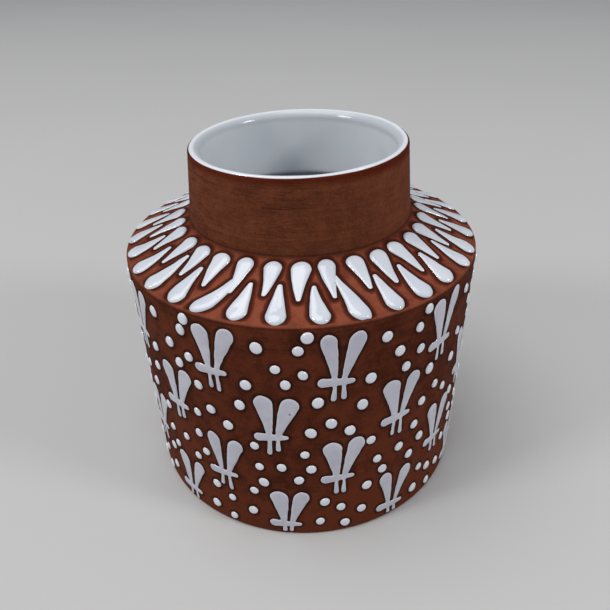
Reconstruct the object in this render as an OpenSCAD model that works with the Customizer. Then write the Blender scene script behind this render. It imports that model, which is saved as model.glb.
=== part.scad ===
// Earthenware vase: a thrown body with a sloping shoulder and a collar neck,
// a white glaze lining that folds over the lip, and trailed white relief outside.
// Millimetres, +Z up, origin on the table under the middle of the foot; the front is -Y.

/* [Clay body] */
// Diameter at the shoulder's edge, the widest place of the body
body_d = 108; // [100:1:120]
// Diameter of the foot, where the wall meets the table
foot_d = 106; // [98:1:118]
// Height of the wall, from the table to the shoulder's edge
wall_h = 79.5; // [74:0.5:96]
// Rise of the sloping shoulder, from its edge to the neck
shoulder_rise = 8.6; // [5:0.2:14]
// Diameter of the neck where it leaves the shoulder
neck_d = 67.6; // [62:0.2:72]
// Diameter of the neck at the lip
lip_d = 64.2; // [58:0.2:72]
// Height of the neck, from the shoulder to the top of the glazed lip
neck_h = 20.7; // [12:0.1:32]
// Thickness of the clay in the wall
wall_t = 4.4; // [3:0.1:6]
// Thickness of the clay in the shoulder
shoulder_t = 4.4; // [3:0.1:6]
// Thickness of the clay in the neck
neck_t = 2.8; // [2.2:0.1:4.5]
// Thickness of the clay in the floor
floor_t = 6.5; // [4:0.1:9]

/* [Foot] */
// Width of the ring that stands on the table
foot_ring_w = 9; // [5:0.5:16]
// Depth of the turned hollow inside the ring
foot_hollow = 1.4; // [0.8:0.1:2.5]

/* [Edges] */
// Radius of the outer edge of the foot
foot_round = 1; // [0.4:0.1:2]
// Radius of the shoulder's edge
edge_round = 0.7; // [0.3:0.1:1]
// Radius of the hollow where the neck meets the shoulder
neck_fillet = 0.5; // [0.3:0.1:1.2]
// Radius of the lip's outer edge, below the glaze
lip_round = 0.5; // [0.3:0.1:0.8]
// Radius of the lip's inner edge
lip_inner_round = 1.1; // [0.6:0.1:1.2]
// Radius inside, where the floor turns up into the wall
floor_cove = 10; // [4:0.5:16]
// Radius inside, under the shoulder
shoulder_cove = 6; // [3:0.5:10]
// Radius inside, where the shoulder turns up into the neck
throat_round = 3; // [1.5:0.5:5]

/* [Glaze lining] */
// Thickness of the glaze inside and over the lip
glaze_t = 0.6; // [0.4:0.1:1]

/* [Shoulder drops] */
// Number of drops in each of the two rings
drop_count = 32; // [24:1:34]
// Turn of the first upper drop from the front, in degrees
drop_turn = -1.2; // [-6:0.1:6]
// Length of an upper drop
upper_drop_l = 11.8; // [9:0.1:13]
// Width of an upper drop's head
upper_drop_w = 5.2; // [4:0.1:5.8]
// Length of a lower drop
lower_drop_l = 11.9; // [9:0.1:13]
// Width of a lower drop's head
lower_drop_w = 5.5; // [4:0.1:6.4]
// Width of a drop at its tip
drop_tip_w = 1.8; // [1:0.1:2.2]
// Relief of a drop at its head
drop_h = 0.9; // [0.6:0.1:1.4]
// Relief of a drop at its tip
drop_tip_h = 0.5; // [0.3:0.1:0.8]
// Bare clay between the neck and the upper drops
neck_gap = 1.8; // [1.2:0.1:3]
// Bare clay between the lower drops and the shoulder's edge
edge_gap = 0.9; // [0.7:0.1:2]

/* [Sprigs] */
// Number of sprigs in each row
sprig_count = 10; // [6:1:11]
// Turn of the first sprig of the top row from the front, in degrees
sprig_turn = 10.8; // [-18:0.1:18]
// Height of the top row's petal tips below the shoulder's edge
sprig_top_gap = 2.2; // [1.6:0.1:6]
// Height of the foot row's cross stroke above the table
sprig_foot_gap = 5.7; // [4.6:0.1:9]
// Height of a petal's tip above its cross stroke
petal_l = 14.9; // [11:0.1:16]
// Width of a petal's head
petal_w = 5.3; // [4:0.1:5.8]
// Width of a petal's root
petal_root_w = 2; // [1.6:0.1:2.4]
// Distance between the middles of the two petals' heads
petal_spread = 7.4; // [6.6:0.1:8.4]
// Distance that the pair of petals leans to the right
petal_lean = 0.9; // [-1.5:0.1:1.5]
// Length of the cross stroke
bar_l = 10.4; // [7:0.1:12]
// Width of the cross stroke at its blunt left end
bar_w = 2.6; // [1.8:0.1:3.2]
// Width of the cross stroke at its right end
bar_tip_w = 1.4; // [1:0.1:2]
// Distance that the cross stroke lies to the right of the sprig's middle
bar_shift = -1.1; // [-1.6:0.1:1]
// Length of the two tails below the cross stroke
tail_l = 6.2; // [4:0.1:7]
// Width of a tail at its blunt end
tail_w = 1.6; // [1:0.1:2]
// Distance between the two stems, where petals and tails meet the cross stroke
stem_gap = 2.8; // [2.4:0.1:3.4]
// Relief of a sprig
sprig_h = 0.65; // [0.5:0.05:0.9]

/* [Dots] */
// Diameter of a dot
dot_d = 3.5; // [2.6:0.1:4.2]
// Relief of a dot
dot_h = 0.95; // [0.5:0.05:1.2]

/* [Hand] */
// How far the trailing hand strays, from 0 for none to 1 for a free hand
hand = 1; // [0:0.1:1]

/* [Hidden] */

// Facets of the big round forms and of the trailed strokes
round_fn = 256;
stroke_fn = 96;

// How far an arc cuts past its sides, and a stroke's side lies inside the balls at its ends
hair = 0.01;

// Colours
clay_colour = "#8a4428";
glaze_colour = "#e9ebee";

// Section of the clay body, as radius and height
body_r = body_d / 2;
foot_r = foot_d / 2;
neck_r = neck_d / 2;
lip_r = lip_d / 2;
shoulder_top = wall_h + shoulder_rise;
total_h = shoulder_top + neck_h;
lip_z = total_h - glaze_t;
foot_corner = [foot_r, 0];
edge_corner = [body_r, wall_h];
neck_corner = [neck_r, shoulder_top];
lip_corner = [lip_r, lip_z];
foot_ring_r = foot_r - foot_ring_w;

// Rows of sprigs, from the top row down to the foot row
row_count = 4;
top_bar_z = wall_h - sprig_top_gap - petal_l;
row_pitch = (top_bar_z - sprig_foot_gap) / (row_count - 1);
sprig_pitch = 360 / sprig_count;
sprig_w = petal_spread + petal_w;
foot_tail_gap = 1.2;

// Places of the dots in the free field between two sprigs, row by row from the top: across the
// field from -1 to 1, and up from the cross stroke by shares of the row pitch
dot_spots = [
    [[-0.40, 0.60], [0.85, 0.78], [0.62, 0.55], [0.06, 0.25], [0.74, 0.13], [-0.73, -0.09], [0.32, -0.05]],
    [[-0.58, 0.65], [0.60, 0.50], [-0.21, 0.25], [-0.75, 0.08], [0.29, 0.04], [0.96, -0.24], [-0.89, -0.37]],
    [[-0.61, 0.28], [0.06, 0.35], [0.86, 0.29], [0.52, 0.05], [-0.44, -0.03]],
    [[-0.54, 0.54], [0.73, 0.70], [-0.07, 0.36], [0.60, 0.21], [-0.64, 0.05], [0.02, -0.08]]
];

// Sprigs seen to stand off the even rows: row, place in the row, turn in degrees and rise in mm
set_off = [
    [0, 0, -1.3, -0.8], [0, 1, -1.6, 0.4], [0, 9, -1.8, 0],
    [1, 0, 0.2, -0.5], [1, 8, -0.8, -0.2], [1, 9, -2.6, -1.4],
    [2, 0, -0.6, 0.4], [2, 1, 2.0, -1.4], [2, 9, -2.4, -1.8],
    [3, 0, 0.7, -0.4], [3, 8, -1.8, 0], [3, 9, 0.2, -0.6]
];

// How far a free hand strays: along and across a stroke in mm, and in a size as a share
stray_mm = 0.6 * hand;
stray_share = 0.06 * hand;
drop_stray_deg = 0.9 * hand;
sprig_stray_deg = hand;

// First number of each kind of stroke in the run of strays
upper_first = 100;
lower_first = 300;
sprig_first = 500;
dot_first = 1000;

// Stray of a free hand, from -1 to 1, without order but the same in each build
function stray(n) = let (s = 4375.85 * sin(744.26 * n)) 2 * (s - floor(s)) - 1;

// Unit vector from p to q
function toward(p, q) = (q - p) / norm(q - p);

// Line through p and q, moved to its left by t: a point and a direction
function moved_line(p, q, t) = let (d = toward(p, q)) [p + t * [-d[1], d[0]], d];

// Point where two such lines cross
function meet(m, n) =
    let (gap = n[0] - m[0], across = cross(m[1], n[1]))
    m[0] + m[1] * cross(gap, n[1]) / across;

// Corners of the hollow from the lip down to the floor, t in from the clay's own inner face
function hollow_corners(t) =
    let (
        top = [[0, lip_z + t], [-1, 0]],
        neck = moved_line(neck_corner, lip_corner, neck_t + t),
        shoulder = moved_line(edge_corner, neck_corner, shoulder_t + t),
        wall = moved_line(foot_corner, edge_corner, wall_t + t),
        floor_line = [[0, floor_t + t], [1, 0]]
    )
    [meet(top, neck), meet(neck, shoulder), meet(shoulder, wall), meet(wall, floor_line)];

// Distance from corner c, between p and n, to the points where an arc of radius r touches its sides
function touch_run(p, c, n, r) = r / tan(acos(toward(c, p) * toward(c, n)) / 2);

// Filled outline whose corners are [x, y, radius], taken anticlockwise, with true arcs
module rounded_outline(corners) {
    count = len(corners);
    function at(i) = let (c = corners[(i + count) % count]) [c[0], c[1]];
    function radius(i) = corners[i][2];
    function arm(i, step) = toward(at(i), at(i + step));
    function touch(i, step) = at(i) + arm(i, step) * touch_run(at(i - 1), at(i), at(i + 1), radius(i));
    function centre(i) =
        let (inward = toward([0, 0], arm(i, -1) + arm(i, 1)))
        at(i) + inward * norm([radius(i), norm(touch(i, 1) - at(i))]);
    function bulges(i) = cross(at(i) - at(i - 1), at(i + 1) - at(i)) > 0;
    rounded = [for (i = [0 : count - 1]) if (radius(i) > 0) i];
    difference() {
        union() {
            polygon([for (i = [0 : count - 1]) each radius(i) > 0 ? [touch(i, -1), touch(i, 1)] : [at(i)]]);
            for (i = rounded) if (bulges(i)) translate(centre(i)) circle(radius(i) + hair);
        }
        for (i = rounded) if (!bulges(i)) translate(centre(i)) circle(radius(i) + hair);
    }
}

// Outside of the pot, filled in: turned hollow under the foot, wall, shoulder, neck and lip
module outside_outline() {
    rounded_outline([
        [0, foot_hollow, 0],
        [foot_ring_r - foot_hollow, foot_hollow, 0],
        [foot_ring_r, 0, 0],
        [foot_corner[0], foot_corner[1], foot_round],
        [edge_corner[0], edge_corner[1], edge_round],
        [neck_corner[0], neck_corner[1], neck_fillet],
        [lip_corner[0], lip_corner[1], lip_round],
        [0, lip_z, 0]
    ]);
}

// Hollow of the pot, t in from the clay's own inner face, with the room over the lip out to a radius
module hollow_outline(t, out) {
    corners = hollow_corners(t);
    above = total_h + 5 + t;
    rounded_outline([
        [0, floor_t + t, 0],
        [corners[3][0], corners[3][1], floor_cove - t],
        [corners[2][0], corners[2][1], shoulder_cove - t],
        [corners[1][0], corners[1][1], throat_round + t],
        [corners[0][0], corners[0][1], lip_inner_round + t],
        [out, lip_z + t, 0],
        [out, above, 0],
        [0, above, 0]
    ]);
}

// Outer end of the flat on top of the clay lip, where the glaze ends
glaze_end_r = lip_r - touch_run(neck_corner, lip_corner, [0, lip_z], lip_round);

// Thrown and turned pot: one piece of red clay
module clay_body() {
    color(clay_colour)
        rotate_extrude($fn = round_fn)
            difference() {
                outside_outline();
                hollow_outline(0, glaze_end_r);
            }
}

// White glaze: one skin over the floor, the inside wall and the top of the lip
module glaze_lining() {
    color(glaze_colour)
        rotate_extrude($fn = round_fn)
            difference() {
                hollow_outline(0, glaze_end_r);
                hollow_outline(glaze_t, body_r);
            }
}

// Plain cone of the wall, carried on past both its ends, which the wall's strokes are seated on
module wall_seat() {
    past = 10 * toward(foot_corner, edge_corner);
    rotate_extrude($fn = round_fn)
        polygon([[0, -past[1]], foot_corner - past, edge_corner + past, [0, wall_h + past[1]]]);
}

// Plain cone of the shoulder, carried on past its edge, with the neck, which the drops are seated on
module shoulder_seat() {
    past = 10 * toward(edge_corner, neck_corner);
    rotate_extrude($fn = round_fn)
        polygon([[0, 0], [body_r - past[0], 0], edge_corner - past, neck_corner, lip_corner, [0, lip_z]]);
}

// Point of a section line at a turn from the front, with its outward normal
function spot(point, normal, turn) =
    [
        [point[0] * sin(turn), -point[0] * cos(turn), point[1]],
        [normal[0] * sin(turn), -normal[0] * cos(turn), normal[1]]
    ];

// Spot on the wall at a turn and a height
function wall_spot(turn, z) =
    let (d = toward(foot_corner, edge_corner), r = foot_r + (body_r - foot_r) * z / wall_h)
    spot([r, z], [d[1], -d[0]], turn);

// Spot on the shoulder at a turn and a distance up the slope from its edge
function shoulder_spot(turn, run) =
    let (d = toward(edge_corner, neck_corner))
    spot(edge_corner + d * run, [d[1], -d[0]], turn);

shoulder_run = norm(neck_corner - edge_corner);

// Turn that a distance across the wall makes
function wall_turn(mm) = mm / body_r * 180 / PI;

// Ball that stands out of a face by h over a patch w wide, and its middle under a spot
function ball_r(w, h) = (w * w / 4 + h * h) / (2 * h);
function ball_middle(place, w, h) = place[0] - place[1] * (ball_r(w, h) - h);

// Round rod between two balls, tangent to both but for a hair's breadth
module ball_ended_rod(from, from_r, to, to_r) {
    along = to - from;
    reach = norm(along);
    slope = asin((from_r - to_r) / reach);
    side = [cos(slope), sin(slope)];
    near = (from_r - hair) * side;
    far = (to_r - hair) * side + [0, reach];
    translate(from)
        rotate([0, acos(along[2] / reach), atan2(along[1], along[0])])
            rotate_extrude($fn = stroke_fn)
                intersection() {
                    union() {
                        circle(from_r);
                        translate([0, reach]) circle(to_r);
                        polygon([[0, 0], near, far, [0, reach]]);
                    }
                    translate([0, -from_r]) square([from_r + to_r, from_r + reach + to_r]);
                }
}

// Trailed stroke from one spot to another; at each end its width and relief
module stroke(from, from_w, from_h, to, to_w, to_h) {
    ball_ended_rod(ball_middle(from, from_w, from_h), ball_r(from_w, from_h),
        ball_middle(to, to_w, to_h), ball_r(to_w, to_h));
}

// Trailed strokes, cut off at the face that they are fired on to: strokes first, then their seat
module trailed() {
    color(glaze_colour)
        difference() {
            union() children(0);
            children(1);
        }
}

// Drop on the shoulder: its head and tip at distances up the slope from the edge
module drop(turn, head_run, tip_run, w, tip_stray) {
    stroke(shoulder_spot(turn, head_run), w, drop_h,
        shoulder_spot(turn + tip_stray, tip_run), drop_tip_w, drop_tip_h);
}

// Ring of drops next to the neck, tips down the slope
module upper_drops() {
    head_end = shoulder_run - neck_gap;
    trailed() {
        for (i = [0 : drop_count - 1]) {
            n = upper_first + 4 * i;
            w = upper_drop_w * (1 + stray_share * stray(n));
            l = upper_drop_l * (1 + stray_share * stray(n + 1));
            turn = drop_turn + i * 360 / drop_count + drop_stray_deg * stray(n + 2);
            drop(turn, head_end - w / 2, head_end - l + drop_tip_w / 2, w, drop_stray_deg * stray(n + 3));
        }
        shoulder_seat();
    }
}

// Ring of drops at the shoulder's edge, between the upper ones, tips up the slope
module lower_drops() {
    trailed() {
        for (i = [0 : drop_count - 1]) {
            n = lower_first + 4 * i;
            w = lower_drop_w * (1 + stray_share * stray(n));
            l = lower_drop_l * (1 + stray_share * stray(n + 1));
            turn = drop_turn + (i + 0.5) * 360 / drop_count + drop_stray_deg * stray(n + 2);
            drop(turn, edge_gap + w / 2, edge_gap + l - drop_tip_w / 2, w, drop_stray_deg * stray(n + 3));
        }
        shoulder_seat();
    }
}

// Turn and height of a sprig: each row is set half a pitch round from the row above
function row_turn(row, i) = sprig_turn + (i + (row % 2) / 2) * sprig_pitch;
function bar_z(row) = top_bar_z - row * row_pitch;
function sprig_number(row, i) = sprig_first + 7 * (row * sprig_count + i % sprig_count);
function sprig_off(row, i) =
    let (
        noted = [for (s = set_off) if (s[0] == row && s[1] == i % sprig_count) hand * [s[2], s[3]]],
        n = sprig_number(row, i)
    )
    len(noted) > 0 ? noted[0] : [sprig_stray_deg * stray(n + 2000), stray_mm * (stray(n + 2003) - 0.6)];

// Sprig: two petals that stand on a cross stroke, with two tails below it; n is its first stray
module sprig(turn, z, n) {
    function place(x, up) = wall_spot(turn + wall_turn(x), z + up);
    root_h = 0.8 * sprig_h;
    for (side = [-1, 1]) {
        first = side < 0 ? n : n + 3;
        w = petal_w * (1 + 2 * stray_share * stray(first));
        stem_x = side * stem_gap / 2;
        head_x = petal_lean + side * petal_spread / 2 + stray_mm * stray(first + 1);
        tail_x = stem_x + stray_mm * stray(first + 2);
        tail_end = max(foot_tail_gap - z, -tail_l + 1.5 * stray_mm * stray(first + 5)) + tail_w / 2;
        stroke(place(head_x, petal_l - w / 2), w, sprig_h, place(stem_x, 0.5), petal_root_w, root_h);
        stroke(place(stem_x, -0.4), 0.8 * tail_w, root_h, place(tail_x, tail_end), tail_w, 0.9 * root_h);
    }
    bar_tilt = stray_mm * stray(n + 6);
    stroke(place(bar_shift - (bar_l - bar_w) / 2, bar_tilt / 2), bar_w, sprig_h,
        place(bar_shift + (bar_l - bar_tip_w) / 2, -bar_tilt / 2), bar_tip_w, root_h);
}

// One row of sprigs round the wall
module sprig_row(row) {
    trailed() {
        for (i = [0 : sprig_count - 1]) {
            off = sprig_off(row, i);
            sprig(row_turn(row, i) + off[0], bar_z(row) + off[1], sprig_number(row, i));
        }
        wall_seat();
    }
}

// Dots in the free fields of one row; each field lies midway between its two sprigs
module dot_row(row) {
    free_w = sprig_pitch / wall_turn(1) - sprig_w;
    spots = dot_spots[row];
    trailed() {
        for (i = [0 : sprig_count - 1], k = [0 : len(spots) - 1]) {
            n = dot_first + 3 * ((row * sprig_count + i) * 7 + k);
            off = (sprig_off(row, i) + sprig_off(row, i + 1)) / 2;
            x = spots[k][0] * free_w / 2 + stray_mm * stray(n);
            z = bar_z(row) + off[1] + spots[k][1] * row_pitch + 0.8 * stray_mm * stray(n + 1);
            w = dot_d * (1 + 2 * stray_share * stray(n + 2));
            place = wall_spot(row_turn(row, i + 0.5) + off[0] + wall_turn(x), z);
            translate(ball_middle(place, w, dot_h)) sphere(ball_r(w, dot_h), $fn = stroke_fn);
        }
        wall_seat();
    }
}

// The rows as nodes of their own
module sprigs_top() sprig_row(0);
module sprigs_upper() sprig_row(1);
module sprigs_lower() sprig_row(2);
module sprigs_foot() sprig_row(3);
module dots_top() dot_row(0);
module dots_upper() dot_row(1);
module dots_lower() dot_row(2);
module dots_foot() dot_row(3);

clay_body();
glaze_lining();
upper_drops();
lower_drops();
sprigs_top();
sprigs_upper();
sprigs_lower();
sprigs_foot();
dots_top();
dots_upper();
dots_lower();
dots_foot();
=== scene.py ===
import math

import bmesh
import bpy
from mathutils import Matrix, Vector


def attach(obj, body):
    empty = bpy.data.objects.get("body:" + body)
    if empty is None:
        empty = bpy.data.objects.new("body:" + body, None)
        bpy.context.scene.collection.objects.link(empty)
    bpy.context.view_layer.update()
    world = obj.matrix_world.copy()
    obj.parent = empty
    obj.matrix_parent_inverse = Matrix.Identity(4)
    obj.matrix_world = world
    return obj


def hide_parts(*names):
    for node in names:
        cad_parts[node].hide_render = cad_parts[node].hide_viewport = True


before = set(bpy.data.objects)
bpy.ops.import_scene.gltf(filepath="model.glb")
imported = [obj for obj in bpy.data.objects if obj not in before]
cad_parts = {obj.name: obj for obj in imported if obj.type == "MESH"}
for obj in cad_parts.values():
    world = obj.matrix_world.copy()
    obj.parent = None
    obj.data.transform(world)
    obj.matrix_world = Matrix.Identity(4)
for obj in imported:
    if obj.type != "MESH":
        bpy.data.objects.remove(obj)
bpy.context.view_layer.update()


# The pot
# One lump of red earthenware, pulled up on the wheel, turned true with a rib when leather hard and fired bare.
# It stands on a ring turned under its foot. The rib's fine rings stay in the clay, and the marks of dragged grit.

MM = 0.001
WALL_FOOT_R, WALL_TOP_R, WALL_H = 53.0, 54.0, 79.5
NECK_R, NECK_Z = 33.8, 88.1
LIP_R, LIP_Z = 32.1, 109.0
LIP_TILT = Vector((0.013, 0.004))

pot_outside = [
    (0, 1.4, 0, 6), (43, 1.4, 0.8, 6), (44, 0, 0.5, 0.6), (WALL_FOOT_R, 0, 1.0, 2),
    (WALL_TOP_R, WALL_H, 0.7, 0.75), (NECK_R, NECK_Z, 0.35, 0.6), (LIP_R, LIP_Z, 0.5, 0.45),
]
hollow = [(29.29, LIP_Z, 1.6), (30.95, 88.5, 1.6), (49.56, 76.61, 6), (48.68, 6.5, 10), (0, 6.5, 0)]
pot_inside = [corner + (pitch,) for corner, pitch in zip(hollow, (1, 4, 4, 6, 7))]


def drawn_section(corners):
    """Points along a section in mm.

    A corner is its radius and height, its rounding, and the pitch of the points up to it.
    """
    points = []
    for i, (r, z, rounding, pitch) in enumerate(corners):
        here = Vector((r, z))
        arc = [here]
        if rounding:
            back = (Vector(corners[i - 1][:2]) - here).normalized()
            ahead = (Vector(corners[i + 1][:2]) - here).normalized()
            half = back.angle(ahead) / 2
            centre = here + (back + ahead).normalized() * rounding / math.sin(half)
            first = here + back * rounding / math.tan(half) - centre
            last = here + ahead * rounding / math.tan(half) - centre
            cuts = max(4, round(rounding * first.angle(last) / 0.9))
            arc = [centre + first.lerp(last, k / cuts).normalized() * rounding for k in range(cuts + 1)]
        if points:
            start = points[-1]
            run = arc[0] - start
            cuts = int(run.length / pitch)
            points += [start + run * k / (cuts + 1) for k in range(1, cuts + 1)]
        points += arc
    return points


def rib_marks(points):
    """The section with the shallow rings of the turning rib on its walls, shoulder and neck."""
    marked, along = list(points), 0.0
    for i in range(1, len(points) - 1):
        along += (points[i] - points[i - 1]).length
        if points[i].y < 2:
            continue
        run = (points[i + 1] - points[i - 1]).normalized()
        depth = 0.014 * math.sin(2.7 * along + 2.1 * math.sin(0.41 * along)) * (1.2 + math.sin(0.29 * along + 1))
        depth += 0.010 * math.sin(4.9 * along + 1.7 * math.sin(0.83 * along))
        marked[i] = points[i] + Vector((run.y, -run.x)) * depth
    return marked


def turn_on_wheel(name, points, steps):
    """A section in mm, drawn point by point, spun about the wheel's axis and brought to metres."""
    bpy.ops.object.select_all(action="DESELECT")
    bpy.ops.mesh.primitive_plane_add(size=1, location=(0, 0, 0))
    piece = bpy.context.object
    piece.name = name
    bpy.ops.object.mode_set(mode="EDIT")
    bpy.ops.mesh.select_all(action="SELECT")
    bpy.ops.mesh.merge(type="CENTER")
    bpy.ops.transform.translate(value=(points[0].x, 0, points[0].y))
    for here, ahead in zip(points, points[1:]):
        step = (ahead.x - here.x, 0, ahead.y - here.y)
        bpy.ops.mesh.extrude_vertices_move(TRANSFORM_OT_translate={"value": step})
    bpy.ops.mesh.select_all(action="SELECT")
    bpy.ops.mesh.spin(steps=steps, angle=2 * math.pi, center=(0, 0, 0), axis=(0, 0, 1))
    bpy.ops.mesh.select_all(action="SELECT")
    bpy.ops.mesh.remove_doubles(threshold=0.002)
    bpy.ops.mesh.normals_make_consistent(inside=False)
    bpy.ops.transform.resize(value=(MM, MM, MM), center_override=(0, 0, 0))
    bpy.ops.object.mode_set(mode="OBJECT")
    bpy.ops.object.shade_smooth()
    return piece


def hand_unevenness(piece, amount, grain):
    """The slight lumps of hand work, pushed into the mesh."""
    lumps = bpy.data.textures.new(piece.name + "_lumps", type="CLOUDS")
    lumps.noise_scale = grain
    lumps.noise_depth = 1
    push = piece.modifiers.new("lumps", "DISPLACE")
    push.texture, push.texture_coords = lumps, "LOCAL"
    push.strength, push.mid_level = amount, 0.5
    bpy.context.view_layer.objects.active = piece
    bpy.ops.object.modifier_apply(modifier=push.name)


def tilt_lip(piece):
    """Leaves the lip as the hand cut it: a little higher at the back and on the right."""
    for vertex in piece.data.vertices:
        up = max((vertex.co.z / MM - NECK_Z) / (LIP_Z - NECK_Z), 0)
        vertex.co.z += up * LIP_TILT.dot(vertex.co.xy)


pot = turn_on_wheel("pot", rib_marks(drawn_section(pot_outside + pot_inside)), 320)
tilt_lip(pot)
hand_unevenness(pot, 0.00006, 0.02)
for vertex in pot.data.vertices:
    vertex.co.z = max(vertex.co.z, 0)


class Tone:
    """A value or colour that changes over a surface. Sums on it add Math nodes to its material."""

    def __init__(self, tree, socket):
        self.tree, self.socket = tree, socket

    def node(self, kind, settings=(), sockets=(), out=0):
        """Another node of the same material: its settings first, then the values or links of its sockets."""
        made = self.tree.nodes.new(kind)
        for name, value in dict(settings).items():
            setattr(made, name, value)
        for name, value in dict(sockets).items():
            if isinstance(value, Tone):
                self.tree.links.new(value.socket, made.inputs[name])
            else:
                made.inputs[name].default_value = value
        return Tone(self.tree, made.outputs[out])

    def sums(self, operation, *values):
        return self.node("ShaderNodeMath", {"operation": operation}, enumerate(values))

    def __add__(self, other):
        return self.sums("ADD", self, other)

    def __sub__(self, other):
        return self.sums("SUBTRACT", self, other)

    def __rsub__(self, other):
        return self.sums("SUBTRACT", other, self)

    def __mul__(self, other):
        return self.sums("MULTIPLY", self, other)

    def __pow__(self, other):
        return self.sums("POWER", self, other)

    __radd__, __rmul__ = __add__, __mul__

    def above(self, low, high):
        """0 below low, 1 above high, with a soft step between."""
        sockets = {"Value": self, "From Min": low, "From Max": high}
        return self.node("ShaderNodeMapRange", {"interpolation_type": "SMOOTHSTEP"}, sockets)

    def tint(self, none, full):
        """The first colour where the value is 0, the second where it is 1."""
        return self.node("ShaderNodeMix", {"data_type": "RGBA"}, {0: self, 6: none, 7: full}, 2)

    def axis(self, name):
        return self.node("ShaderNodeSeparateXYZ", (), {"Vector": self}, name)

    def grain(self, scale, detail=2.0, rough=0.5):
        sockets = {"Vector": self, "Scale": scale, "Detail": detail, "Roughness": rough}
        return self.node("ShaderNodeTexNoise", (), sockets)

    def drawn_out(self, x, y, z):
        return self.node("ShaderNodeMapping", (), {"Vector": self, "Scale": (x, y, z)})

    def specks(self, scale, size, share):
        """Round specks of about that size in cells, on a share of the cells."""
        cells = {"Vector": self, "Scale": scale}
        near = self.node("ShaderNodeTexVoronoi", (), cells, "Distance")
        pick = self.node("ShaderNodeTexVoronoi", (), cells, "Color").axis("X")
        return (1 - near.above(size * 0.5, size)) * pick.above(1 - share, 1 - share + 0.02)

    def feeds(self, socket):
        self.tree.links.new(self.socket, socket)


def new_finish(name, rough):
    """A fresh material, its shader and the place on the piece."""
    finish = bpy.data.materials.new(name)
    finish.use_nodes = True
    shader = finish.node_tree.nodes["Principled BSDF"]
    shader.inputs["Roughness"].default_value = rough
    place = Tone(finish.node_tree, finish.node_tree.nodes.new("ShaderNodeTexCoord").outputs["Object"])
    return finish, shader, place


# One clay in lit and shaded copies: the wall's colours are painted dark as painted shade, the shoulder's painted light
# as painted light, and the neck's between them.
clay_wall_shaded_dark, clay_wall_shaded_red = (0.056, 0.0116, 0.0043, 1), (0.126, 0.0289, 0.0118, 1)
clay_neck_lit_dark, clay_neck_lit_red = (0.095, 0.0258, 0.0113, 1), (0.193, 0.0568, 0.0264, 1)
clay_shoulder_lit_dark, clay_shoulder_lit_red = (0.130, 0.0325, 0.0160, 1), (0.270, 0.0725, 0.0390, 1)
# The darkest clay colour serves both the real dark pits and the painted shade in the neck's crease and under the
# shoulder's edge.
clay_soaked, clay_specks_and_shade, clay_grit = (0.092, 0.0105, 0.0032, 1), (0.030, 0.009, 0.005, 1), (0.36, 0.15, 0.09, 1)


def bare_clay(place):
    """Colour, roughness and relief of the clay: turned wall painted dark as painted shade, shoulder and neck painted
    lighter as painted light, dragged neck and soaked lip.
    """
    height = place.axis("Z")
    neck = height.above(0.0879, 0.0886)
    shoulder = height.above(0.0786, 0.0797) * (1 - neck)
    clouds = place.grain(26, 3, 0.55)
    mottle = place.grain(190, 4, 0.62)
    rings = place.drawn_out(10, 10, 1300).grain(1, 2, 0.55)
    scratches = place.drawn_out(110, 110, 2100).grain(1, 2, 0.6)
    sand = place.grain(1500, 2, 0.7)
    dragged = place.drawn_out(170, 170, 900).grain(1, 3, 0.6).above(0.5, 0.64)
    drags = dragged * place.grain(30, 2).above(0.4, 0.6) * (1 - place.axis("X").above(-0.002, 0.02)) * neck
    pits = place.specks(420, 0.15, 0.06)
    grit = place.specks(640, 0.13, 0.06)
    # Under the shoulder's edge the rib's rings show more strongly, and the clay is painted darker there as painted
    # shade beneath the overhang.
    under_edge_rings_and_shade = height.above(0.066, 0.077) * (1 - shoulder - neck)
    # Painted shade: a dark line in the crease where the neck meets the shoulder, and a patchy dark line just under the
    # shoulder's edge.
    corner = height.above(0.0874, 0.0881) * (1 - height.above(0.0882, 0.0890))
    arris_shade_line = height.above(0.0783, 0.0789) * (1 - height.above(0.0790, 0.0794))
    lines = (rings - 0.5) * (0.12 + 0.4 * under_edge_rings_and_shade + 0.12 * neck)
    low = 1 - height.above(0.002, 0.026)
    blotches = (clouds - 0.5) * (0.85 - 0.5 * neck) + (mottle - 0.5) * (1.1 - 0.5 * neck)
    warmth = blotches + lines + scratches * 0.16 + sand * 0.45 - drags * 0.15
    warmth = warmth + low * 0.3 - under_edge_rings_and_shade * 0.08 - neck * 0.03 + 0.205
    warm = warmth.above(0.22, 0.78)
    # Painted light and shade: the same clay at three brightnesses on the wall, the neck and the shoulder.
    on_wall = warm.tint(clay_wall_shaded_dark, clay_wall_shaded_red)
    on_neck = warm.tint(clay_neck_lit_dark, clay_neck_lit_red)
    on_shoulder = warm.tint(clay_shoulder_lit_dark, clay_shoulder_lit_red)
    turned = neck.tint(shoulder.tint(on_wall, on_shoulder), on_neck)
    soaked = (height + clouds * 0.003).above(0.1074, 0.1103)
    gritty = (grit * 0.5).tint(soaked.tint(turned, clay_soaked), clay_grit)
    # The dark pits are real specks; the crease and edge lines darkened with them are painted shade.
    specks_and_painted_shade = pits * 0.6 + corner * 0.6 + arris_shade_line * clouds.above(0.42, 0.6) * 0.5
    colour = specks_and_painted_shade.tint(gritty, clay_specks_and_shade)
    relief = lines * 0.8 + scratches * 0.4 + sand * 0.5 + mottle * 0.4 + drags * 2.2 - pits * 0.9
    return colour, 0.74 + mottle * 0.2, relief


def feed_clay(shader, colour, rough, relief):
    """Gives a shader the dull face of fired clay."""
    colour.feeds(shader.inputs["Base Color"])
    rough.feeds(shader.inputs["Roughness"])
    bumped = {"Strength": 0.5, "Distance": 0.0003, "Height": relief}
    relief.node("ShaderNodeBump", (), bumped).feeds(shader.inputs["Normal"])
    shader.inputs["Specular IOR Level"].default_value = 0.08


red_clay, shader, place = new_finish("bare red clay", 0.85)
feed_clay(shader, *bare_clay(place))

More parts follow.
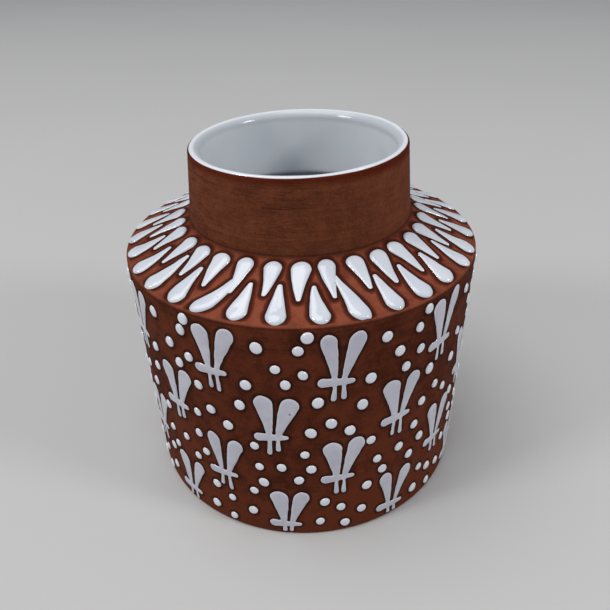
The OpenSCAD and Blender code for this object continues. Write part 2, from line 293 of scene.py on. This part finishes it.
pot.data.materials.append(red_clay)
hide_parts("clay_body")
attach(pot, "root")


# The lining
# White glaze poured into the pot, swilled round and tipped out. It coats the floor and walls and ends on the lip in a
# rounded, shiny edge. Below the throat and just inside the lip it is painted grey as painted shade.

lining_out = [corner + (pitch,) for corner, pitch in zip(reversed(hollow), (7, 7, 5, 4, 3))]
lining_in = [
    (LIP_R - 0.35, LIP_Z - 0.05, 0.1, 0.3), (LIP_R - 0.65, LIP_Z + 0.4, 0.35, 0.3), (28.64, LIP_Z + 0.45, 2.2, 0.4),
    (30.37, 88.0, 2.0, 0.9), (48.96, 76.21, 5.4, 2), (48.09, 7.1, 9.4, 3), (0, 7.1, 0, 4),
]
lining = turn_on_wheel("lining", drawn_section(lining_out + lining_in), 256)
tilt_lip(lining)
hand_unevenness(lining, 0.00022, 0.012)


def out_from_axis(place):
    return (place.axis("X") ** 2 + place.axis("Y") ** 2) ** 0.5


lining_white, lining_grey, lining_bare = (0.885, 0.93, 0.99, 1), (0.83, 0.885, 0.955, 1), (0.42, 0.30, 0.24, 1)
lining_lip_painted_shade, lining_deep_painted_shade = (0.60, 0.64, 0.70, 1), (0.56, 0.59, 0.64, 1)
white_lining, shader, place = new_finish("poured white glaze", 0.12)
height = place.axis("Z")
clouds = place.drawn_out(1, 1, 0.35).grain(55, 3, 0.5)
fine = place.grain(420, 2)
pinholes = place.specks(150, 0.07, 0.10)
# Painted shade: the inner wall just below the lip is painted greyer, and everything below the throat darker.
bend = (1 - out_from_axis(place).above(0.0298, 0.0308)) * height.above(0.1058, 0.1078)
poured = clouds.above(0.3, 0.75).tint(lining_white, lining_grey)
coat = (1 - height.above(0.0868, 0.0888)).tint(bend.tint(poured, lining_lip_painted_shade), lining_deep_painted_shade)
(pinholes * 0.8).tint(coat, lining_bare).feeds(shader.inputs["Base Color"])
(0.07 + fine * 0.12).feeds(shader.inputs["Roughness"])
bumped = {"Strength": 0.25, "Distance": 0.0003, "Height": clouds + fine * 0.25 - pinholes * 0.6}
place.node("ShaderNodeBump", (), bumped).feeds(shader.inputs["Normal"])

lining.data.materials.append(white_lining)
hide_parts("glaze_lining")
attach(lining, "root")


# The drops on the shoulder
# Thick white glaze trailed from a bulb on to the raw clay: a ring of drops with their heads to the neck, and a ring
# between them with their heads to the edge. Each is laid in one stroke, so the tail thins out and the body domes.

DROP_COUNT, DROP_TURN, DROP_STRAY = 32, -1.2, 0.9
DROP_TIP, DROP_RISE, DROP_TIP_RISE, DROP_WAIST = 1.4, 0.8, 0.4, 0.89
SLOPE_RUN = math.hypot(WALL_TOP_R - NECK_R, NECK_Z - WALL_H)
SLOPE = Vector((NECK_R - WALL_TOP_R, NECK_Z - WALL_H)) / SLOPE_RUN
SKIRT_UP, SKIRT_DOWN, SHOULDER_STAIN_SHADE = 0.19, -0.03, 2.2


def grip(test):
    """Selects the vertices of the piece in hand whose place passes the test."""
    mesh = bmesh.from_edit_mesh(bpy.context.object.data)
    for vertex in mesh.verts:
        vertex.select_set(test(vertex.co))
    mesh.select_flush_mode()
    bmesh.update_edit_mesh(bpy.context.object.data)


def trailed_stroke(name, width, length, tip, rise, tip_rise, segments=28, rings=14, waist=1.0):
    """One stroke in mm on a flat: its head round the origin, its tail along +Y, its foot sunk below 0."""
    bpy.ops.object.select_all(action="DESELECT")
    bpy.ops.mesh.primitive_uv_sphere_add(segments=segments, ring_count=rings, radius=1)
    stroke = bpy.context.object
    stroke.name = name
    bpy.context.tool_settings.mesh_select_mode = (True, False, False)
    bpy.ops.object.mode_set(mode="EDIT")
    bpy.ops.mesh.select_all(action="SELECT")
    pressed_to, foot, sunk = 0.70, 0.06 * rise, 0.35
    ball = rise / pressed_to
    bpy.ops.transform.resize(value=(width / 2, width / 2, ball), center_override=(0, 0, 0))
    for level, press in ((0.80, 0.35), (0.56, 0.45)):
        grip(lambda at: at.z > level * ball)
        bpy.ops.transform.resize(value=(1, 1, press), center_override=(0, 0, level * ball))
    bpy.ops.mesh.select_all(action="SELECT")
    if length > width:
        bpy.ops.mesh.bisect(plane_co=(0, 0.05, 0), plane_no=(0, 1, 0))
        grip(lambda at: at.y > 0.04)
        shrink = tip / width
        bpy.ops.transform.resize(value=(shrink, shrink, tip_rise / rise), center_override=(0, 0, 0))
        reach = length - width / 2 - tip / 2
        bpy.ops.transform.translate(value=(0, reach, 0))
        middle = reach / 2
        mesh = bmesh.from_edit_mesh(stroke.data)
        for edge in mesh.edges:
            ends = sorted(v.co.y for v in edge.verts)
            edge.select_set(ends[0] < middle < ends[1])
        bmesh.update_edit_mesh(stroke.data)
        bpy.ops.mesh.subdivide(number_cuts=5)
        grip(lambda at: abs(at.y - middle * 1.15) < middle * 0.1)
        bpy.ops.transform.resize(
            value=(waist, 1, 1), center_override=(0, 0, 0), use_proportional_edit=True,
            proportional_edit_falloff="SMOOTH", proportional_size=middle)
    bpy.ops.mesh.select_all(action="SELECT")
    bpy.ops.mesh.bisect(plane_co=(0, 0, foot), plane_no=(0, 0, 1), use_fill=True, clear_inner=True)
    grip(lambda at: at.z < 0.061 * rise)
    bpy.ops.mesh.extrude_region_move(TRANSFORM_OT_translate={"value": (0, 0, -sunk)})
    bpy.ops.mesh.select_all(action="SELECT")
    bpy.ops.transform.translate(value=(0, 0, -foot))
    bpy.ops.mesh.normals_make_consistent(inside=False)
    bpy.ops.object.mode_set(mode="OBJECT")
    bpy.ops.object.shade_smooth()
    return stroke


def copy_of(piece, matrix):
    """A copy with its own mesh, moved in the mesh."""
    copy = piece.copy()
    copy.data = piece.data.copy()
    copy.data.transform(matrix)
    bpy.context.collection.objects.link(copy)
    return copy


def stained_and_shaded_skirt(piece, reach):
    """The clay round a stroke, stained where its glaze has soaked in and darkened at the foot as painted contact
    shadow: a low skirt from inside the foot, out and down into it.
    """
    skirt = copy_of(piece, Matrix.Identity(4))
    bpy.ops.object.select_all(action="DESELECT")
    skirt.select_set(True)
    bpy.context.view_layer.objects.active = skirt
    bpy.ops.object.mode_set(mode="EDIT")
    bpy.ops.mesh.select_all(action="SELECT")
    bpy.ops.mesh.bisect(plane_co=(0, 0, -0.07), plane_no=(0, 0, 1), clear_inner=True, clear_outer=True)
    bpy.ops.mesh.select_all(action="SELECT")
    bpy.ops.mesh.extrude_edges_move(TRANSFORM_OT_translate={"value": (0, 0, -0.2)})
    bpy.ops.mesh.select_all(action="SELECT")
    bpy.ops.mesh.normals_make_consistent(inside=False)
    bpy.ops.transform.shrink_fatten(value=-0.2)
    grip(lambda at: at.z < -0.17)
    bpy.ops.transform.shrink_fatten(value=reach + 0.2)
    bpy.ops.transform.resize(value=(1, 1, 0), center_override=(0, 0, SKIRT_DOWN - 0.2))
    grip(lambda at: at.z > -0.17)
    bpy.ops.transform.resize(value=(1, 1, 0), center_override=(0, 0, SKIRT_UP))
    grip(lambda at: at.z < -0.17)
    bpy.ops.transform.translate(value=(0, 0, 0.2))
    bpy.ops.object.mode_set(mode="OBJECT")
    return skirt


def joined(name, parts):
    """The parts as one piece."""
    bpy.ops.object.select_all(action="DESELECT")
    for part in parts:
        part.select_set(True)
    bpy.context.view_layer.objects.active = parts[0]
    bpy.ops.object.join()
    parts[0].name = name
    return parts[0]


def fired_on(name, strokes, skirts, amount, grain):
    """Strokes with the lumps of the hand in them, joined to their stained and shaded edges."""
    piece = joined(name, strokes)
    hand_unevenness(piece, amount, grain)
    return joined(name, [piece] + skirts)


def stray(n):
    """A small repeatable wander of the hand, from -1 to 1."""
    spread = 4375.85 * math.sin(math.radians(744.26 * n))
    return 2 * (spread - math.floor(spread)) - 1


def lay_on_shoulder(piece, turn, run, way, lean, bow):
    """Wraps a flat piece on to the shoulder: turn and lean in degrees, run up from the edge and bow in mm."""
    for vertex in piece.data.vertices:
        x, y, proud = vertex.co
        along = max(run + way * y, 0.3)
        r, z = WALL_TOP_R + SLOPE.x * along, WALL_H + SLOPE.y * along
        x += bow * math.sin(math.pi * min(max(y / 9, 0), 1))
        angle = math.radians(turn) + way * x / r + math.radians(lean) * y / 9
        r, z = r + SLOPE.y * proud, z - SLOPE.x * proud
        vertex.co = (MM * r * math.sin(angle), -MM * r * math.cos(angle), MM * z)


trail_thin, trail_hole = (0.17, 0.10, 0.085, 1), (0.16, 0.09, 0.07, 1)
# The dark ring at a stroke's foot is partly a stain of the glaze and partly painted contact shadow.
clay_stain_and_contact_shade = (0.015, 0.0048, 0.003, 1)


def trailed_white(name, proud_of, white, blue, rim_highlight):
    """The trailed glaze: bluish white, glossy, with a painted highlight as a paler rim, thin and brown at the clay,
    with a few pinholes.
    """
    finish, shader, place = new_finish(name, 0.2)
    proud = proud_of(place)
    clouds = place.grain(140, 3, 0.55)
    fine = place.grain(900, 2)
    pinholes = place.specks(230, 0.10, 0.06)
    thick = clouds.above(0.3, 0.72).tint(white, blue)
    # Painted highlight: the glaze is paler where it rounds down at its rim, as if the edge caught the light.
    with_rim_highlight = (1 - proud.above(0.00022, 0.00042)).tint(thick, rim_highlight)
    edged = (1 - proud.above(0.00010, 0.00020)).tint(with_rim_highlight, trail_thin)
    (pinholes * 0.85).tint(edged, trail_hole).feeds(shader.inputs["Base Color"])
    (0.04 + fine * 0.08).feeds(shader.inputs["Roughness"])
    shader.inputs["Coat Weight"].default_value, shader.inputs["Coat Roughness"].default_value = 0.6, 0.04
    bumped = {"Strength": 0.2, "Distance": 0.0002, "Height": clouds * 0.8 + fine * 0.3 - pinholes}
    place.node("ShaderNodeBump", (), bumped).feeds(shader.inputs["Normal"])
    return finish


def proud_of_shoulder(place):
    return (out_from_axis(place) - WALL_TOP_R * MM) * SLOPE.y - (place.axis("Z") - WALL_H * MM) * SLOPE.x


def stained_and_shaded_clay(name, proud_of, spread):
    """The clay of the pot, darkened up to the foot of a stroke, partly as a stain and partly as painted contact shadow,
    and reddened further out where the glaze spread.
    """
    finish, shader, place = new_finish(name, 0.85)
    colour, rough, relief = bare_clay(place)
    near = proud_of(place) + place.grain(420, 2) * 0.00006 - 0.00003
    reddened = (near.above(0.00001, 0.00008) * spread).tint(colour, clay_soaked)
    # Painted contact shadow, partly a stain: the darkest ring at the stroke's foot.
    feed_clay(shader, (near.above(0.00003, 0.00016) * 0.82).tint(reddened, clay_stain_and_contact_shade), rough, relief)
    return finish


stained_and_shaded_shoulder = stained_and_shaded_clay("stained and shaded clay of the shoulder", proud_of_shoulder, 0.68)
white_on_shoulder = trailed_white(
    "trailed white on the shoulder", proud_of_shoulder,
    (0.745, 0.785, 0.87, 1), (0.665, 0.715, 0.82, 1), (0.79, 0.825, 0.89, 1))


def ring_of_drops(name, width, length, first, half_turn, run, way, swell, strays):
    """A ring of drops: heads at a run up the slope, tails the given way, heads swollen where the glaze ran down.

    A few tails strayed far: each is given by its drop's number, as the turn of its tip and its length.
    """
    drop = trailed_stroke("drop", width, length, DROP_TIP, DROP_RISE, DROP_TIP_RISE, waist=DROP_WAIST)
    bpy.ops.object.mode_set(mode="EDIT")
    grip(lambda at: at.z > DROP_RISE / 2 and (at - Vector((0, -0.3 * width, at.z))).length < 0.6)
    bpy.ops.transform.translate(
        value=(0, 0, swell), use_proportional_edit=True,
        proportional_edit_falloff="SMOOTH", proportional_size=0.4 * width)
    bpy.ops.object.mode_set(mode="OBJECT")
    drop.data.materials.append(white_on_shoulder)
    edge = stained_and_shaded_skirt(drop, SHOULDER_STAIN_SHADE)
    edge.data.materials[0] = stained_and_shaded_shoulder
    laid = {drop: [], edge: []}
    for i in range(DROP_COUNT):
        n = first + 4 * i
        wide, long = 1 + 0.09 * stray(n), 1 + 0.06 * stray(n + 1)
        turn = DROP_TURN + 360 / DROP_COUNT * (i + half_turn) + DROP_STRAY * stray(n + 2)
        lean, stretch = strays.get(i, (DROP_STRAY * (stray(n + 3) - 0.5 * stray(n + 2)), 1))
        for shape in laid:
            copy = copy_of(shape, Matrix.Diagonal((wide, long * stretch, 1, 1)))
            lay_on_shoulder(copy, turn, run + way * width * wide / 2, way, lean, 0.35 * stray(n + 40))
            laid[shape].append(copy)
    ring = fired_on(name, laid[drop], laid[edge], 0.0003, 0.0035)
    for shape in laid:
        bpy.data.objects.remove(shape)
    return ring


drops_by_neck = ring_of_drops("drops_by_neck", 5.3, 12.1, 100, 0.0, SLOPE_RUN - 1.7, -1, 0.05, {})
drops_by_edge = ring_of_drops(
    "drops_by_edge", 5.6, 12.5, 300, 0.5, 0.6, 1, 0.22, {1: (-3.0, 1.2), 27: (1.0, 1.15), 29: (5.4, 1.08)})
for ring, node in ((drops_by_neck, "upper_drops"), (drops_by_edge, "lower_drops")):
    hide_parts(node)
    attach(ring, "root")


# The sprigs on the wall
# Each sprig is five quick strokes of the same glaze: two petals pulled down to a point, a short bar across it and two
# thin tails. The wet strokes melt into one another where they meet. Four rows stand half a step apart.

SPRIG_COUNT, SPRIG_TURN, ROW_STEP, TOP_BAR_Z = 10, 10.8, 18.9, 62.4
PETAL_L, PETAL_W, PETAL_ROOT, PETAL_SPREAD, PETAL_LEAN = 14.9, 5.4, 1.5, 7.3, 1.0
PETAL_DRAWN, PETAL_WAIST, PETAL_BOW = 14.0, 0.62, 0.2
BAR_W, BAR_DRAWN, BAR_TIP, BAR_LEFT, BAR_RIGHT = 3.3, 10.4, 1.9, -4.3, 3.5
TAIL_W, TAIL_DRAWN, TAIL_TIP, TAIL_END = 1.6, 6.0, 1.15, -6.2
ROOT_GAP, TAIL_GAP, SPRIG_RISE, LOWEST, WALL_STAIN_SHADE = 2.4, 2.3, 0.5, 1.2, 1.9

petal = trailed_stroke(
    "petal", PETAL_W, PETAL_DRAWN, PETAL_ROOT, SPRIG_RISE, SPRIG_RISE * 0.85, waist=PETAL_WAIST)
bar = trailed_stroke("bar", BAR_W, BAR_DRAWN, BAR_TIP, SPRIG_RISE, SPRIG_RISE * 0.8)
tail = trailed_stroke("tail", TAIL_W, TAIL_DRAWN, TAIL_TIP, SPRIG_RISE * 0.85, SPRIG_RISE * 0.75, 20, 10)

# Sprigs seen to stand off the even rows: row and place in the row, then the turn in degrees and the rise in mm
set_off = {
    (0, 0): (-1.3, -0.8), (0, 1): (-1.6, 0.4), (0, 9): (-1.8, 0), (1, 0): (0.2, -0.5), (1, 8): (-0.8, -0.2),
    (1, 9): (-2.6, -1.4), (2, 0): (-0.6, 0.4), (2, 1): (2.0, -1.4), (2, 9): (-2.4, -1.8), (3, 0): (0.7, -0.4),
    (3, 8): (-1.8, 0), (3, 9): (0.2, -0.6),
}


def sprig_number(row, i):
    return 500 + 7 * (SPRIG_COUNT * row + i % SPRIG_COUNT)


def sprig_off(row, i):
    """How far a sprig stands off the even rows, as a turn in degrees and a rise in mm."""
    n = sprig_number(row, i)
    return Vector(set_off.get((row, i % SPRIG_COUNT), (stray(n + 2000), 0.6 * (stray(n + 2003) - 0.6))))


def row_turn(row, i):
    return SPRIG_TURN + 360 / SPRIG_COUNT * (i + (row % 2) / 2)


def stroke_between(stroke, head, tip, width, head_w, tip_w, length, bow=0.0):
    """A copy of a stroke with its head and tip centres at two places on the flat, bowed to one side."""
    reach = Vector(tip) - Vector(head)
    long = reach.length / (length - head_w / 2 - tip_w / 2)
    copy = copy_of(stroke, Matrix.Diagonal((width / head_w, long, 1, 1)))
    for vertex in copy.data.vertices:
        vertex.co.x += bow * math.sin(math.pi * min(max(vertex.co.y / reach.length, 0), 1))
    copy.data.transform(
        Matrix.Translation((head[0], head[1], 0)) @ Matrix.Rotation(math.atan2(-reach.x, reach.y), 4, "Z"))
    return copy


def sprig_on_flat(row, i):
    """One sprig in mm on a flat, its bar at the origin, its strokes melted together."""
    n = sprig_number(row, i)
    low = LOWEST - (TOP_BAR_Z - ROW_STEP * row + sprig_off(row, i).y)
    strokes = []
    for side, first in ((-1, n), (1, n + 3)):
        width = PETAL_W * (1 + 0.14 * stray(first))
        root, stem = side * ROOT_GAP / 2, side * TAIL_GAP / 2
        across = PETAL_LEAN + side * PETAL_SPREAD / 2 + 0.3 * stray(first + 1)
        head = (across, PETAL_L - width / 2 + 0.4 * stray(first + 9))
        strokes.append(stroke_between(
            petal, head, (root, 0.5), width, PETAL_W, PETAL_ROOT, PETAL_DRAWN, side * PETAL_BOW))
        end = max(low, TAIL_END + 0.9 * stray(first + 5)) + TAIL_W / 2
        foot = (1.15 * stem + 0.35 * stray(first + 2), end)
        strokes.append(stroke_between(tail, foot, (stem, -0.4), TAIL_W, TAIL_W, TAIL_TIP, TAIL_DRAWN))
    tilt = 0.6 * stray(n + 6)
    strokes.append(stroke_between(
        bar, (BAR_LEFT, tilt / 2), (BAR_RIGHT, -tilt / 2), BAR_W, BAR_W, BAR_TIP, BAR_DRAWN))
    sprig = joined("sprig", strokes)
    melt = sprig.modifiers.new("melt", "REMESH")
    melt.mode, melt.voxel_size, melt.use_smooth_shade = "VOXEL", 0.24, True
    bpy.ops.object.modifier_apply(modifier=melt.name)
    settle = sprig.modifiers.new("settle", "SMOOTH")
    settle.factor, settle.iterations = 0.5, 4
    bpy.ops.object.modifier_apply(modifier=settle.name)
    return sprig


def lay_on_wall(piece, turn, height):
    """Wraps a flat piece on to the wall: turn in degrees from the front, height in mm."""
    for vertex in piece.data.vertices:
        x, y, proud = vertex.co
        z = min(max(height + y, 1.0), WALL_H - 0.8)
        r = WALL_FOOT_R + (WALL_TOP_R - WALL_FOOT_R) * z / WALL_H + proud
        angle = math.radians(turn) + x / WALL_TOP_R
        vertex.co = (MM * r * math.sin(angle), -MM * r * math.cos(angle), MM * z)


def proud_of_wall(place):
    lean = (WALL_TOP_R - WALL_FOOT_R) / WALL_H
    return out_from_axis(place) - place.axis("Z") * lean - WALL_FOOT_R * MM


stained_and_shaded_wall = stained_and_shaded_clay("stained and shaded clay of the wall", proud_of_wall, 0.1)
# The sprigs are the same glaze as the drops and dots, painted greyer as painted shade on the wall.
white_sprig_painted_shade = trailed_white(
    "white of the sprigs in painted shade", proud_of_wall, (0.575, 0.58, 0.675, 1), (0.495, 0.50, 0.60, 1), (0.67, 0.68, 0.75, 1))

for row, node in enumerate(("sprigs_top", "sprigs_upper", "sprigs_lower", "sprigs_foot")):
    laid, skirts = [], []
    for i in range(SPRIG_COUNT):
        sprig = sprig_on_flat(row, i)
        sprig.data.materials.clear()
        sprig.data.materials.append(white_sprig_painted_shade)
        edge = stained_and_shaded_skirt(sprig, WALL_STAIN_SHADE)
        edge.data.materials[0] = stained_and_shaded_wall
        aside, rise = sprig_off(row, i)
        for shape in (sprig, edge):
            lay_on_wall(shape, row_turn(row, i) + aside, TOP_BAR_Z - ROW_STEP * row + rise)
        laid.append(sprig)
        skirts.append(edge)
    sprigs = fired_on("trailed_" + node, laid, skirts, 0.0003, 0.0035)
    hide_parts(node)
    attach(sprigs, "root")
for stroke in (petal, bar, tail):
    bpy.data.objects.remove(stroke)


# The dots on the wall
# Single touches of the bulb in the fields between the sprigs, five to seven to a field. Each settles into a low dome,
# some a little long where the bulb was drawn away.

DOT_W, DOT_RISE = 3.1, 0.68
FIELD_W = math.tau * WALL_TOP_R / SPRIG_COUNT - 12.7
dot_spots = [
    [(-.40, .60), (.85, .78), (.62, .55), (.06, .25), (.74, .13), (-.73, -.09), (.32, -.05)],
    [(-.58, .65), (.60, .50), (-.21, .25), (-.75, .08), (.29, .04), (.92, -.28), (-.89, -.37)],
    [(-.61, .28), (.06, .35), (.86, .29), (.52, .05), (-.44, -.03)],
    [(-.54, .54), (.73, .70), (-.07, .36), (.60, .21), (-.64, .05), (.02, -.08)],
]

# The dots are the same glaze, painted whiter than the sprigs and drops as painted light on their domed tops.
white_dot_painted_light = trailed_white(
    "white of the dots in painted light", proud_of_wall, (0.82, 0.845, 0.92, 1), (0.74, 0.77, 0.88, 1), (0.85, 0.865, 0.92, 1))

dot = trailed_stroke("dot", DOT_W, DOT_W, DOT_W, DOT_RISE, DOT_RISE, 14, 8)
dot.data.materials.append(white_dot_painted_light)
dot_edge = stained_and_shaded_skirt(dot, WALL_STAIN_SHADE)
dot_edge.data.materials[0] = stained_and_shaded_wall
for row, node in enumerate(("dots_top", "dots_upper", "dots_lower", "dots_foot")):
    laid = {dot: [], dot_edge: []}
    for i in range(SPRIG_COUNT):
        aside, rise = (sprig_off(row, i) + sprig_off(row, i + 1)) / 2
        for k, (u, v) in enumerate(dot_spots[row]):
            n = 1000 + 3 * ((SPRIG_COUNT * row + i) * 7 + k)
            x = u * FIELD_W / 2 + 0.6 * stray(n)
            z = TOP_BAR_Z - ROW_STEP * row + rise + v * ROW_STEP + 0.48 * stray(n + 1)
            size = 1 + 0.12 * stray(n + 2)
            drawn = Matrix.Rotation(0.5 * stray(n + 7), 4, "Z") @ Matrix.Diagonal(
                (size * 0.99, size * (1.09 + 0.07 * stray(n + 5)), 1, 1))
            for shape in laid:
                copy = copy_of(shape, Matrix.Translation((x, 0, 0)) @ drawn)
                lay_on_wall(copy, row_turn(row, i + 0.5) + aside, z)
                laid[shape].append(copy)
    dots = fired_on("trailed_" + node, laid[dot], laid[dot_edge], 0.00022, 0.003)
    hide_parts(node)
    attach(dots, "root")
for shape in (dot, dot_edge):
    bpy.data.objects.remove(shape)


# The table, the light and the camera
# A plain pale floor that fills the picture, a broad soft lamp overhead, two lesser ones left and right of the
# viewer that also make the glints, and an even pale surround. The viewer stands close and looks down on the shoulder.

bpy.ops.object.select_all(action="DESELECT")
bpy.ops.mesh.primitive_plane_add(size=8, location=(0, 0, 0))
floor = bpy.context.object
floor.name = "floor"
pale_floor, shader, place = new_finish("pale floor", 0.9)
place.grain(3, 2).tint((0.57, 0.57, 0.575, 1), (0.61, 0.61, 0.615, 1)).feeds(shader.inputs["Base Color"])
shader.inputs["Specular IOR Level"].default_value = 0.1
floor.data.materials.append(pale_floor)


def soft_lamp(name, at, size, power, tone):
    """A round lamp that points at the middle of the pot."""
    lamp = bpy.data.lights.new(name, "AREA")
    lamp.shape, lamp.size, lamp.energy, lamp.color = "DISK", size, power, tone
    holder = bpy.data.objects.new(name, lamp)
    aim = (Vector((0, 0, 0.08)) - Vector(at)).to_track_quat("-Z", "Y").to_matrix().to_4x4()
    holder.matrix_world = Matrix.Translation(at) @ aim
    bpy.context.collection.objects.link(holder)


soft_lamp("overhead", (-0.80, -0.22, 3.0), 3.0, 49, (1.0, 0.99, 0.975))
soft_lamp("front_left", (-0.93, -0.42, 0.78), 0.3, 3.9, (1.0, 0.98, 0.94))
soft_lamp("front_right", (0.98, -0.44, 0.64), 0.3, 4.1, (1.0, 0.985, 0.95))

surround = bpy.data.worlds.new("surround")
surround.use_nodes = True
sky = surround.node_tree.nodes["Background"]
sky.inputs["Color"].default_value, sky.inputs["Strength"].default_value = (0.93, 0.96, 1.0, 1), 0.26
bpy.context.scene.world = surround

EYE_AT, EYE_TURN, EYE_DOWN, EYE_ROLL = (0, -0.1734, 0.1621), -0.0040, 0.5671, -0.0272
eye = bpy.data.cameras.new("viewer")
eye.lens, eye.sensor_width = 35.39, 36.0
eye.clip_start, eye.clip_end = 0.01, 50
viewer = bpy.data.objects.new("viewer", eye)
viewer.matrix_world = (
    Matrix.Translation(EYE_AT) @ Matrix.Rotation(EYE_TURN, 4, "Z")
    @ Matrix.Rotation(math.pi / 2 - EYE_DOWN, 4, "X") @ Matrix.Rotation(EYE_ROLL, 4, "Z"))
bpy.context.collection.objects.link(viewer)
bpy.context.scene.camera = viewer
bpy.context.scene.view_settings.view_transform = "Standard"
